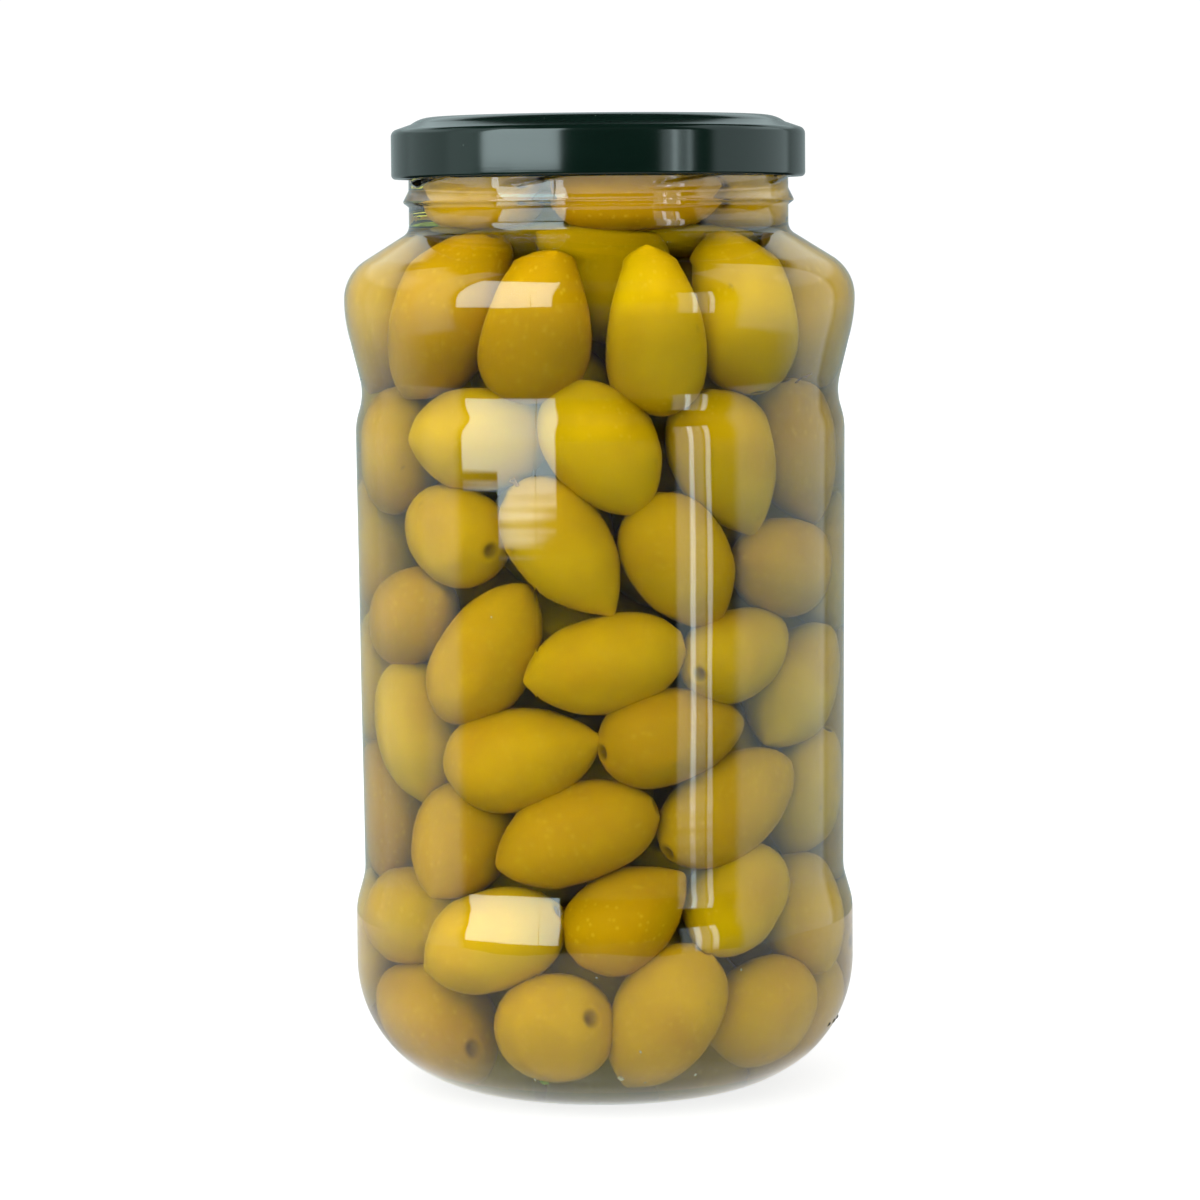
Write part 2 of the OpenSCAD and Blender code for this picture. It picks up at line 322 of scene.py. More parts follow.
def enamelOnTinplate():
    material, tree = newMaterial("stoving enamel on tinplate, dark green gloss")
    place = addNode(tree, "TexCoord").outputs["Object"]
    # rolling grain is finer than 0.2 mm in life and is drawn at 0.7 mm, so that it shows
    level = addNode(tree, "Mapping", {"Vector": place, "Scale": (0.04, 0.04, 1.0)}).outputs["Vector"]
    grain = noise(tree, level, lidLook["grain"], detail=3.0, roughness=0.6)
    cloud = noise(tree, place, lidLook["cloud"], detail=3.0)
    colour = blend(tree, cloud, lidLook["enamel"], lidLook["worn"])
    specks = addNode(tree, "TexVoronoi", {"Vector": place,
                                          "Scale": 1000 / lidLook["speck"]}).outputs["Distance"]
    dust = remap(tree, specks, 0.02, 0.05, 0.5, 0.0)
    colour = blend(tree, dust, colour, lidLook["dust"])
    gloss = remap(tree, cloud, 0.0, 1.0, lidLook["roughness"] - 0.03, lidLook["roughness"] + 0.05)
    bump = addNode(tree, "Bump", {"Height": grain, "Strength": 0.35,
                                  "Distance": 0.02 * mm}).outputs["Normal"]
    shader = addNode(tree, "BsdfPrincipled", {"Base Color": colour, "Roughness": gloss, "IOR": 1.5,
                                              "Normal": bump})
    finishMaterial(tree, shader.outputs[0])
    return material


# The camera stands 0.9 m in front, a little below the lid, with a long lens
cameraPlace = {"distance": 900, "height": 178, "aimHeight": 100.5, "aimRight": -0.4,
               "lens": 130.8, "roll": -0.5}


def placeCamera():
    data = bpy.data.cameras.new("camera")
    data.lens = cameraPlace["lens"]
    data.sensor_width = 36
    data.clip_start = 0.05
    data.clip_end = 50
    camera = bpy.data.objects.new("camera", data)
    bpy.context.scene.collection.objects.link(camera)
    eye = Vector((cameraPlace["aimRight"], -cameraPlace["distance"], cameraPlace["height"])) * mm
    aim = Vector((cameraPlace["aimRight"], 0, cameraPlace["aimHeight"])) * mm
    turn = (aim - eye).to_track_quat("-Z", "Y").to_matrix().to_4x4()
    roll = Matrix.Rotation(math.radians(cameraPlace["roll"]), 4, "Z")
    camera.matrix_world = Matrix.Translation(eye) @ turn @ roll
    bpy.context.scene.camera = camera


placeCamera()
print("camera placed")


jar = {
    "bandInset": 0.9,            # from the shoulder, the widest place, in to the band
    "heel": 26.5, "bandTop": 36.0,
    "panelLowInset": 1.9, "panelTopInset": 1.2, "panelHeight": 89.5, "waistInset": 1.3,
    "stepSlope": 16.0, "stepRound": 14.0, "stepHollow": 12.0,
    "flareSlope": 13.6, "flareRound": 30.0, "flareHollow": 12.0,
    "shoulderSlope": 58.0, "shoulderRound": 9.5, "neckFoot": 2.5,
    "ringWidth": 1.5, "pushUp": 4.4, "ringBlend": 3.0, "baseGlass": 4.6,
    "innerHeel": 21.0, "innerBlend": 8.0,
    "finish": 39.0, "bore": 36.0, "rimEdge": 1.2, "wall": 2.4,
    "beadOut": 1.1, "beadTip": 0.5, "beadDrop": 14.8, "beadAbove": 2.3, "beadBelow": 1.1,
    "threads": 8, "threadSpan": 50.0, "threadRise": 4.6, "threadRadius": 1.15,
    "threadOut": 1.25, "threadDrop": 8.3, "threadStart": 18.0,
    "seamBody": -15.0, "seamNeck": -13.0, "seamOut": 0.04, "seamWidth": 0.35,
    "dotStart": 71.0, "dotPitch": 5.0, "dots": 3, "dotHeight": 14.0, "dotRadius": 0.8, "dotOut": 0.3,
    "waves": 0.03,               # how far the wall strays from true
}
band = jarTop.x - jar["bandInset"]
panelLow, panelTop = band - jar["panelLowInset"], band - jar["panelTopInset"]
waist = panelTop - jar["waistInset"]
stepShape = (jar["stepSlope"], jar["stepRound"], jar["stepHollow"])
flareShape = (jar["flareSlope"], jar["flareHollow"], jar["flareRound"])
panelLowZ = jar["bandTop"] + stepHeight(band, panelLow, *stepShape)
panelTopZ = panelLowZ + jar["panelHeight"]
waistZ = panelTopZ + stepHeight(panelTop, waist, *stepShape)
shoulderZ = waistZ + stepHeight(waist, jarTop.x, *flareShape)
neckZ = shoulderZ + stepHeight(jarTop.x, jar["finish"], jar["shoulderSlope"], jar["shoulderRound"],
                               jar["neckFoot"])
rimZ = jarTop.z


def wallLine(inset, neck, spacing=6):
    # from the top of the band to the foot of the neck, drawn in by the inset
    slope, first, second = stepShape
    flare, hollow, full = flareShape
    thick = jar["finish"] - neck
    panel = np.linspace(0, 1, round(jar["panelHeight"] / spacing))[1:-1]
    convex, concave = first - inset, second + inset
    return (stepLine(band - inset, jar["bandTop"], panelLow - inset, slope, convex, concave)
            + [(panelLow - inset + (panelTop - panelLow) * t, panelLowZ + (panelTopZ - panelLowZ) * t)
               for t in panel]
            + stepLine(panelTop - inset, panelTopZ, waist - inset, slope, convex, concave)
            + stepLine(waist - inset, waistZ, jarTop.x - inset, flare, hollow + inset, full - inset)
            + stepLine(jarTop.x - inset, shoulderZ, neck, jar["shoulderSlope"],
                       jar["shoulderRound"] - inset, jar["neckFoot"] + thick))


def outerLine():
    ringOut = band - jar["heel"]
    beadZ = rimZ - jar["beadDrop"]
    beadMid = jar["finish"] + jar["beadOut"] - jar["beadTip"]
    heel = (arc(ringOut, jar["heel"], jar["heel"], -90, -32)
            + arc(ringOut, jar["heel"], jar["heel"], -32, -24, 0.5)[1:]  # close rings under the dots
            + arc(ringOut, jar["heel"], jar["heel"], -24, 0)[1:])
    return withoutRepeats(
            domeLine(ringOut - jar["ringWidth"], 0, jar["pushUp"], jar["ringBlend"]) + heel
            + uprightLine(band, jar["heel"], jar["bandTop"], 1.5)
            + wallLine(0, jar["finish"])
            + [(jar["finish"], beadZ - jar["beadBelow"])]
            + arc(beadMid, beadZ, jar["beadTip"], -60, 25, 12)
            + [(jar["finish"], beadZ + jar["beadAbove"])]
            + uprightLine(jar["finish"], beadZ + jar["beadAbove"], rimZ - jar["rimEdge"], 0.35)
            + arc(jar["finish"] - jar["rimEdge"], rimZ - jar["rimEdge"], jar["rimEdge"], 0, 90, 10))


def innerLine(inset=0.0, top=None):
    # the inside of the glass going up; a positive inset reaches into the wall
    wall = jar["wall"] - inset
    level = band - jar["wall"] - jar["innerHeel"]
    base = domeLine(level, jar["baseGlass"] - inset, jar["pushUp"], jar["innerBlend"])
    heel = arc(level, jar["baseGlass"] + jar["innerHeel"], jar["innerHeel"] + inset, -90, 0)
    upper = wallLine(wall, jar["bore"] + inset)
    return withoutRepeats(base + heel + upper + ([(jar["bore"] + inset, top)] if top else []))


def columnAngles():
    # even columns, with closer ones at the mould seams and the dots
    even = np.arange(0, 360, 1.8) - 180
    seams = [seam + turn + off for seam in (jar["seamBody"], jar["seamNeck"]) for turn in (0, 180)
             for off in np.arange(-0.8, 0.81, 0.2)]
    dots = np.arange(jar["dotStart"] - 1.2, jar["dotStart"] + 2 * jar["dotPitch"] + 1.3, 0.22)
    angles = np.concatenate([even, seams, dots])
    return np.unique(np.round((angles + 180) % 360 - 180, 3))


def apart(angles, direction):
    return (angles - direction + 180) % 360 - 180


def jarRelief(r, z, angles):
    out = np.zeros(np.broadcast(r, angles).shape)
    width = jar["seamWidth"]
    for seam, low, high in ((jar["seamBody"], 12, neckZ - 2), (jar["seamNeck"], neckZ, rimZ - 3)):
        within = (z > low) & (z < high)
        for turn in (0, 180):
            across = np.radians(apart(angles, seam + turn)) * r
            out += within * jar["seamOut"] * np.exp(-(across / width * 2) ** 2)
    # threads: ridges that climb to the right, rounded at both ends
    pitch = 360 / jar["threads"]
    for i in range(jar["threads"]):
        middle = jar["threadStart"] + i * pitch + jar["threadSpan"] / 2
        turned = apart(angles, middle)
        half = jar["threadSpan"] / 2
        climb = np.clip(turned, -half, half) / jar["threadSpan"] * jar["threadRise"]
        beyond = np.radians(np.maximum(np.abs(turned) - half, 0)) * jar["finish"]
        off = np.hypot(z - (rimZ - jar["threadDrop"]) - climb, beyond)
        ridge = np.sqrt(np.maximum(jar["threadRadius"] ** 2 - off ** 2, 0))
        stand = jar["threadOut"] - jar["threadRadius"]
        out = np.maximum(out, (ridge > 0) * (ridge + stand) * (z > neckZ))
    for i in range(jar["dots"]):
        across = np.radians(apart(angles, jar["dotStart"] + i * jar["dotPitch"])) * r
        slope = math.asin((jar["heel"] - jar["dotHeight"]) / jar["heel"])
        up = (z - jar["dotHeight"]) / math.cos(slope)
        cap = np.sqrt(np.maximum(jar["dotRadius"] ** 2 - across ** 2 - up ** 2, 0))
        out += np.maximum(cap - (jar["dotRadius"] - jar["dotOut"]), 0) * (z < 20)
    # the wall strays a little from true, as blown glass does
    a = np.radians(angles)
    stray = (np.sin(3 * a + z / 23 + 1.1) + 0.6 * np.sin(7 * a - z / 11 + 0.4)
             + 0.35 * np.sin(13 * a + z / 6.5 + 2.0))
    fade = np.clip((z - 8) / 12, 0, 1) * np.clip((neckZ - z) / 10, 0, 1)
    return out + jar["waves"] * stray * fade


def makeJar():
    outside = outerLine()
    inside = innerLine(0.0, brineTop.z)
    rimInside = ([(jar["bore"], rimZ - jar["rimEdge"] - 0.4)]
                 + arc(jar["bore"] + jar["rimEdge"], rimZ - jar["rimEdge"], jar["rimEdge"], 180, 90, 10))
    # the outside with its relief, then the inside going down
    angles = columnAngles()
    around = len(angles)
    outer = turnedPoints(outside[1:], angles, jarRelief).reshape(-1, 3)
    down = (inside + rimInside)[::-1][1:]
    inner = turnedPoints(down[:-1], angles).reshape(-1, 3)
    rings = len(outside) - 1 + len(down) - 1
    points = np.vstack([outer, inner, [(0, 0, outside[0][1])], [(0, 0, down[-1][1])]])
    faces = ringFaces(rings, around)
    faces += capFaces(0, around, len(points) - 2, False)
    faces += capFaces(rings - 1, around, len(points) - 1, True)
    free = mouldedSodaLimeGlass("moulded soda-lime glass", 1.0, True)
    wet = mouldedSodaLimeGlass("moulded soda-lime glass, wet side", 0.08, False)
    base = mouldedSodaLimeGlass("moulded soda-lime glass, thick green base", 1.0, True,
                                glassLook["base"])
    piece = makePiece("glass_jar", points, faces, [free, wet, base])
    # the wet side is what the brine touches: from its surface down to the middle of the base
    wetRing = len(outside) - 1 + len(rimInside)
    finish = np.zeros(len(faces), int)
    finish[wetRing * around:(rings - 1) * around] = 1
    finish[-around:] = 1
    # and the thick base is what lies below the height of its glass
    low = sum(z < jar["baseGlass"] for r, z in outside[1:])
    finish[:low * around] = 2
    finish[-2 * around:-around] = 2
    piece.data.polygons.foreach_set("material_index", finish)
    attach(piece, "root")
    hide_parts("jar")


makeJar()
print("jar made")


def makeBrine():
    # it reaches just into the wall, so that no air shows between
    line = innerLine(brineLook["overlap"], brineTop.z)
    line += [(jar["bore"] * 0.6, brineTop.z), (0, brineTop.z)]
    points, faces = turnedBody(line, np.arange(0, 360, 1.5))
    piece = makePiece("brine_filling", points, faces, [oliveBrine()])
    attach(piece, "root")
    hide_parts("brine")


makeBrine()
print("brine made")


lid = {
    "tinplate": 0.35, "hem": 0.9, "skirtDrop": 10.2,
    "ridgeRise": 2.4, "ridge": 7.0, "ridgeInset": 8.3, "ridgeHalf": 4.2, "slope": 19.0,
    "corner": 1.5, "panelSink": 1.4, "innerSlope": 40.0, "button": 15.0, "buttonEdge": 1.2,
    "buttonSink": 0.5, "lugSpan": 9.0, "lugThick": 0.8, "lugGap": 0.35, "lugTurn": 32.0,
}
lidR = lidTop.x
hemZ = lidLow.z + lid["hem"]


def lidLine(inset):
    ridgeMid = lidR - lid["ridgeInset"]
    foot = math.degrees(math.asin(lid["ridgeHalf"] / lid["ridge"]))
    footR = ridgeMid + lid["ridgeHalf"]
    footZ = lidTop.z - lid["ridge"] * (1 - math.cos(math.radians(foot)))
    turn = 90 - lid["slope"]
    startR = lidR - lid["corner"] * (1 - math.cos(math.radians(turn)))
    cornerZ = (footZ - (startR - footR) * math.tan(math.radians(lid["slope"]))
               - lid["corner"] * math.sin(math.radians(turn)))
    panelZ = lidTop.z - lid["panelSink"]
    inner = math.degrees(math.acos(1 - lid["panelSink"] / 3 / lid["ridge"]))
    innerR = (ridgeMid - lid["ridge"] * math.sin(math.radians(inner))
              - lid["panelSink"] * 2 / 3 / math.tan(math.radians(lid["innerSlope"])))
    button, edge, sunk = lid["button"], lid["buttonEdge"], panelZ - lid["buttonSink"]
    return withoutRepeats(
            [(0, sunk - inset), (button * 0.5, sunk - inset), (button - edge, sunk - inset),
             (button - edge * 0.5, (sunk + panelZ) / 2 - inset),
             (button, panelZ - inset), (button + 1, panelZ - inset), (innerR - 0.8, panelZ - inset),
             (innerR + inset * 0.5, panelZ + 0.06 - inset)]
            + arc(ridgeMid, lidTop.z - lid["ridge"], lid["ridge"] - inset, 90 + inner, 90 - foot, 3)
            + arc(lidR - lid["corner"], cornerZ, lid["corner"] - inset, turn, 0, 6)
            + [(lidR - inset, cornerZ - 0.6), (lidR - inset, (cornerZ + hemZ) / 2)])


def lugPoints(direction):
    # one tongue of the hem, a rounded strip that tapers at both ends
    tip, root = jar["finish"] + lid["lugGap"], lidR - lid["hem"]
    section = [(0, 0.25), (0.25, 0), (1, 0), (1, 1), (0.25, 1), (0, 0.75)]
    rows = []
    for t in np.linspace(-1, 1, 13):
        reach = 1 - 0.75 * max(0, abs(t) - 0.7) / 0.3
        a = math.radians(direction + t * lid["lugSpan"] / 2)
        for u, v in section:
            r = root + (tip - root) * reach * (1 - u)
            z = hemZ - lid["hem"] + 0.1 + v * lid["lugThick"]
            rows.append((r * math.sin(a), -r * math.cos(a), z))
    return rows, len(section)


def makeLid():
    outside = lidLine(0)[::-1]
    hem = arc(lidR - lid["hem"], hemZ, lid["hem"], -180, 0, 12)
    curl = arc(lidR - lid["hem"], hemZ, lid["hem"], -180, -290, 15)[::-1]
    inside = lidLine(lid["tinplate"])
    # from the middle of the underside out, down the skirt, round the hem and back over the top
    skirt = [(lidR - lid["tinplate"] - 0.05, hemZ + 2 * lid["hem"])]
    line = inside[:-1] + skirt + curl + hem[1:] + outside
    points, faces = turnedBody(line, np.arange(0, 360, 1.5))
    points, faces = list(map(tuple, points)), list(faces)
    pitch = 360 / jar["threads"]
    for i in range(jar["threads"]):
        rows, wide = lugPoints(jar["threadStart"] + lid["lugTurn"] + i * pitch)
        first = len(points)
        points += rows
        count = len(rows) // wide
        for s in range(count - 1):
            for k in range(wide):
                a, b = first + s * wide + k, first + s * wide + (k + 1) % wide
                faces.append((a, b, b + wide, a + wide))
        faces.append(tuple(first + k for k in range(wide))[::-1])
        faces.append(tuple(first + (count - 1) * wide + k for k in range(wide)))
    piece = makePiece("twist_off_lid", points, faces, [enamelOnTinplate()])
    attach(piece, "root")
    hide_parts("lid")


makeLid()
print("lid made")


# What shows at the front: direction, height, length, thickness, the way the
# blossom end points (0 right, 90 up, 180 left, 270 down), its turn out of the wall, and how
# deep the olive lies behind the wall
shownOlives = [
    (-77, 158, 29, 20.5, 268, 0, 0), (-50, 161.5, 34, 21.5, 250, 0, 0),
    (-14.5, 157, 30, 21, 78, 0, 0), (14.5, 157.5, 32.5, 19.5, 98, 0, 0),
    (46, 163.5, 30.5, 20.5, 90, 0, 0), (75, 161, 28.5, 21, 92, 0, 0), (-74, 133.5, 27, 20, 85, 0, 0),
    (-40, 135.5, 27.5, 21.5, 200, 20, 0), (5, 132, 29.5, 20, 299, 0, 0),
    (36, 131, 30.5, 20.5, 290, 0, 0), (65.5, 131, 31.5, 20.5, 280, 0, 0), (97, 138, 28, 20, 95, 0, 0),
    (-81, 111.5, 27, 20, 100, 0, 0), (-47, 119, 26.5, 20, 165, -15, 0),
    (-6.5, 113, 30.5, 19.5, 307, 0, 0), (21.5, 110.5, 29, 20.5, 300, 0, 0),
    (59.5, 107.5, 26.5, 20, 172, 0, 0), (95, 108, 28, 20, 80, 0, 0), (-66, 103, 27, 19, 10, 0, 0),
    (-36, 90, 32, 19.5, 62, 0, 0), (1, 90.5, 30.5, 19.5, 191, 0, 0), (44, 93.5, 28.5, 18.5, 8, -8, 2),
    (65, 85.5, 29, 20.5, 235, 0, 0), (97, 79.5, 28, 20, 95, 0, 0), (-92, 83, 27, 20, 90, 0, 0),
    (-61, 79, 28.5, 20.5, 283, 0, 0), (-21, 72, 31, 20.5, 7, 0, 0), (21.5, 79, 29, 20, 12, 0, 0),
    (74, 61.5, 27, 20, 275, -10, 0), (100, 54, 27.5, 20, 80, 0, 0), (-85, 59, 29, 20, 285, 0, 0),
    (-44, 50.5, 26.5, 20.5, 262, 25, 0), (-8, 55, 32, 20, 195, 0, 0), (36, 61, 32, 19.5, 36, 0, 0),
    (-92, 32, 25, 19, 80, 0, 0), (-64.5, 37, 26, 20, 190, 30, 0), (-31.5, 34.5, 30, 20.5, 190, 0, 0),
    (5, 44.5, 26, 19.5, 25, 0, 0), (33.5, 42.5, 26.5, 20, 215, 10, 0), (69, 37.5, 27, 20.5, 270, 20, 0),
    (-66, 18, 30, 22, 168, 0, 0), (-14.5, 21.5, 25, 21, 185, -30, 0), (19.5, 25, 29, 20.5, 237, 0, 0),
    (45, 21, 24, 20, 185, -20, 0), (78, 17.5, 24, 20, 100, 0, 0),
    (-33, 171, 27, 19, 25, 0, 13), (1, 169, 27, 19, 160, 0, 14), (31, 171, 27, 19, 15, 0, 13),
    (16.5, 181, 31.5, 19.5, 2, 0, 0), (-53.5, 181, 27.5, 19.5, 175, 0, 0),
    (73.5, 182, 27, 20, 10, 0, 0),
]
olives = {
    "seed": 7, "spacing": 18.6, "length": (26.0, 32.0), "thickness": (19.5, 21.5),
    "tries": 9000, "rounds": 260, "skinGap": 0.15,
    "shownMesh": (40, 26), "hiddenMesh": (20, 14),
}
# An olive's form; each pair is the range that it is drawn from
oliveForm = {
    "fullness": 2.15,            # 2 would be an ellipse
    "taper": (0.0, 0.2), "slimTip": (0.0, 0.24), "point": (0.3, 1.1), "dimple": 0.9, "lip": 0.4,
    "oval": (0.005, 0.035), "threeSided": (0.005, 0.024), "wind": (0.01, 0.03), "bend": (-0.8, 1.1),
}


def turned(direction):
    a = math.radians(direction)
    return np.array([math.sin(a), -math.cos(a), 0]), np.array([math.cos(a), math.sin(a), 0])


class Lining:
    # the inside of the jar as a line of points, for keeping the olives in
    def __init__(self):
        line = innerLine(0.0)
        line += [(jar["bore"], brineTop.z)]
        line += [(r, brineTop.z) for r in np.arange(jar["bore"] - 1, -0.5, -1.0)]
        r, z = np.array(line).T
        length = np.concatenate([[0], np.cumsum(np.hypot(np.diff(r), np.diff(z)))])
        even = np.arange(0, length[-1], 0.8)
        self.points = np.stack([np.interp(even, length, r), np.interp(even, length, z)], 1)
        side = [(r, z) for r, z in innerLine(0.0) if r > band - jar["wall"] - jar["innerHeel"]]
        side += [(jar["bore"], brineTop.z)]
        self.sideR, self.sideZ = np.array(side).T
        floor = [(r, z) for r, z in innerLine(0.0) if r <= band - jar["wall"] - jar["innerHeel"]]
        self.floorR, self.floorZ = np.array(floor).T

    def radius(self, z):
        return np.interp(z, self.sideZ, self.sideR)

    def floor(self, r):
        return np.interp(r, self.floorR, self.floorZ)

    def push(self, centres, radii):
        # how far each ball must move to lie clear of the lining
        r = np.hypot(centres[:, 0], centres[:, 1])
        away = np.stack([r, centres[:, 2]], 1)[:, None, :] - self.points[None, :, :]
        distance = np.hypot(away[..., 0], away[..., 1])
        nearest = distance.argmin(1)
        rows = np.arange(len(r))
        gap = distance[rows, nearest]
        short = np.maximum(radii - gap, 0)
        unit = away[rows, nearest] / np.maximum(gap, 1e-6)[:, None]
        outward = centres[:, :2] / np.maximum(r, 1e-6)[:, None]
        sideways, upward = unit[:, :1] * short[:, None], unit[:, 1:] * short[:, None]
        return np.concatenate([outward * sideways, upward], 1)


def packOlives(random):
    lining = Lining()
    rows = []
    for direction, height, length, thick, points, turn, deep in shownOlives:
        outward, right = turned(direction)
        p, t = math.radians(points), math.radians(turn)
        flat = math.cos(p) * right + math.sin(p) * np.array([0, 0, 1])
        axis = math.cos(t) * flat + math.sin(t) * outward
        r = lining.radius(height) - thick / 2 - 0.3 - deep
        if height > neckZ:
            r = jar["bore"] - thick / 2 - 0.3 - deep
        rows.append((outward * r + [0, 0, height], axis, length, thick, 1.0))
    # the rest fill the back and the middle, tried one after the other
    centres = [row[0] for row in rows]
    for _ in range(olives["tries"]):
        z = random.uniform(14, brineTop.z - 10)
        r = math.sqrt(random.uniform(0, 1)) * (lining.radius(z) - 9.5)
        a = random.uniform(0, 2 * math.pi)
        spot = np.array([r * math.cos(a), r * math.sin(a), z])
        if min(np.linalg.norm(np.array(centres) - spot, axis=1)) < olives["spacing"]:
            continue
        centres.append(spot)
        axis = random.normal(size=3)
        rows.append((spot, axis / np.linalg.norm(axis), random.uniform(*olives["length"]),
                     random.uniform(*olives["thickness"]), 0.0))
    place = np.array([row[0] for row in rows])
    axis = np.array([row[1] for row in rows])
    length = np.array([row[2] for row in rows])
    thick = np.array([row[3] for row in rows])
    shown = np.array([row[4] for row in rows]) > 0
    home, homeAxis = place.copy(), axis.copy()
    # each olive is three balls in a row; overlapping balls push each other away
    count = len(rows)
    radii = np.stack([thick * 0.4, thick * 0.5, thick * 0.4], 1)
    reach = length / 2 - thick * 0.4
    arms = np.stack([-reach, reach * 0, reach], 1)
    owner = np.repeat(np.arange(count), 3)
    ease = np.where(shown, 0.35, 1.0)[:, None]
    for step in range(olives["rounds"]):
        balls = (place[:, None, :] + arms[:, :, None] * axis[:, None, :]).reshape(-1, 3)
        size = radii.reshape(-1)
        away = balls[:, None, :] - balls[None, :, :]
        distance = np.sqrt((away ** 2).sum(2)) + 1e-9
        overlap = np.maximum(size[:, None] + size[None, :] - distance, 0)
        overlap[owner[:, None] == owner[None, :]] = 0
        move = (away / distance[..., None] * overlap[..., None] * 0.25).sum(1)
        move += lining.push(balls, size + olives["skinGap"])
        move = move.reshape(count, 3, 3)
        place = place + move.mean(1) * 1.5 * ease
        twist = np.cross(arms[:, :, None] * axis[:, None, :], move).sum(1)
        twist = twist / (2 * reach[:, None] ** 2 + 20)
        axis = axis + np.cross(twist * 0.6 * ease, axis)
        if step < olives["rounds"] * 0.8:
            pull = np.where(shown, 0.12, 0.0)[:, None]
            place = place + (home - place) * pull
            axis = axis + (homeAxis - axis) * pull
        axis /= np.linalg.norm(axis, axis=1)[:, None]
    left = overlap.max()
    print("olives packed:", count, "with at most", round(float(left), 2), "mm of overlap,",
          "shown ones moved", round(float(np.linalg.norm(place - home, axis=1)[shown].max()), 1), "mm")
    return place, axis, length, thick, shown, lining


def oliveShape(rings, around, length, thick, random):
    # an egg with a dimple at the stalk end and a low point at the blossom end
    s = np.linspace(0, math.pi, rings)
    u = -np.cos(s)
    taper = random.uniform(*oliveForm["taper"])
    full = np.sqrt(np.maximum(1 - np.abs(u) ** oliveForm["fullness"], 0)) * (1 - taper * u)
    full *= 1 - random.uniform(*oliveForm["slimTip"]) * np.clip((u - 0.45) / 0.55, 0, 1)
    radius = full / full.max() * thick / 2
    x = u * length / 2
    x = x + random.uniform(*oliveForm["point"]) * np.exp(-(radius / 1.6) ** 2) * (u > 0)
    x = x + (oliveForm["dimple"] * np.exp(-(radius / 0.8) ** 2)
             - oliveForm["lip"] * np.exp(-((radius - 2.2) / 1.0) ** 2)) * (u < 0)
    a = np.linspace(0, 2 * math.pi, around, endpoint=False)
    ease = np.sin(s)[:, None]
    oval = random.uniform(*oliveForm["oval"]) * np.sin(2 * a + random.uniform(0, 6))
    threeSided = random.uniform(*oliveForm["threeSided"]) * np.sin(3 * a + random.uniform(0, 6))
    lumps = 1 + ease * (oval + threeSided)[None, :]
    # a swell that winds along the olive keeps its sides from being true
    wind = np.sin(a[None, :] + 2.6 * u[:, None] + random.uniform(0, 6))
    lumps = lumps + random.uniform(*oliveForm["wind"]) * ease * wind
    bend = random.uniform(*oliveForm["bend"]) * (1 - u ** 2)
    y = radius[:, None] * np.cos(a) * lumps + bend[:, None]
    z = radius[:, None] * np.sin(a) * lumps
    points = np.stack([np.repeat(x[:, None], around, 1), y, z], 2)
    return points, u


def makeOlives():
    random = np.random.default_rng(olives["seed"])
    place, axis, length, thick, shown, lining = packOlives(random)
    points, faces, along, tone = [], [], [], []
    total = 0
    for i in range(len(place)):
        rings, around = olives["shownMesh"] if shown[i] else olives["hiddenMesh"]
        shape, u = oliveShape(rings, around, length[i], thick[i], random)
        x = axis[i]
        side = np.cross(x, random.normal(size=3))
        side /= np.linalg.norm(side)
        frameOf = np.stack([x, side, np.cross(x, side)])
        body = shape[1:-1].reshape(-1, 3)
        ends = np.array([shape[0].mean(0), shape[-1].mean(0)])
        mine = np.vstack([body, ends]) @ frameOf + place[i]
        # skin that would pass the glass lies flat against it
        r = np.hypot(mine[:, 0], mine[:, 1])
        limit = lining.radius(mine[:, 2]) - olives["skinGap"]
        mine[:, :2] *= np.minimum(1, limit / np.maximum(r, 1e-6))[:, None]
        r = np.hypot(mine[:, 0], mine[:, 1])
        mine[:, 2] = np.clip(mine[:, 2], lining.floor(r) + olives["skinGap"], brineTop.z - 0.3)
        faces += closedFaces(rings - 2, around, total)
        points.append(mine)
        along += list(np.repeat(u[1:-1], around)) + [-1.0, 1.0]
        tone += [float(random.uniform(0, 1))] * len(mine)
        total += len(mine)
    piece = makePiece("olives", np.vstack(points), faces, [curedOliveSkin()])
    for name, values in (("along", along), ("tone", tone)):
        layer = piece.data.attributes.new(name, "FLOAT", "POINT")
        layer.data.foreach_set("value", np.array(values, np.float32))
    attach(piece, "root")
    print("olives:", len(place), "with", sum(len(f) - 2 for f in faces), "triangles")
    return place, axis, length


olivePlaces = makeOlives()


# Stalks left on three of the olives: which shown olive, length, thickness and lean
stalks = [(14, 2.4, 1.3, 40), (31, 4.0, 1.4, 25), (10, 4.6, 1.6, 70)]
# Crumbs of pulp: direction, height, size and how far in from the wall
crumbs = [(4, 9.5, 1.0, 0.9), (-6, 14, 0.5, 1.2), (8.5, 15, 0.45, 1.0), (-20, 9, 0.5, 0.8),
          (25, 9.5, 0.55, 0.8), (11, 8.5, 0.4, 0.8), (-2, 30, 0.35, 0.7), (33, 30, 0.4, 0.7),
          (-27, 101, 0.35, 0.7), (-11, 13, 0.35, 0.9)]


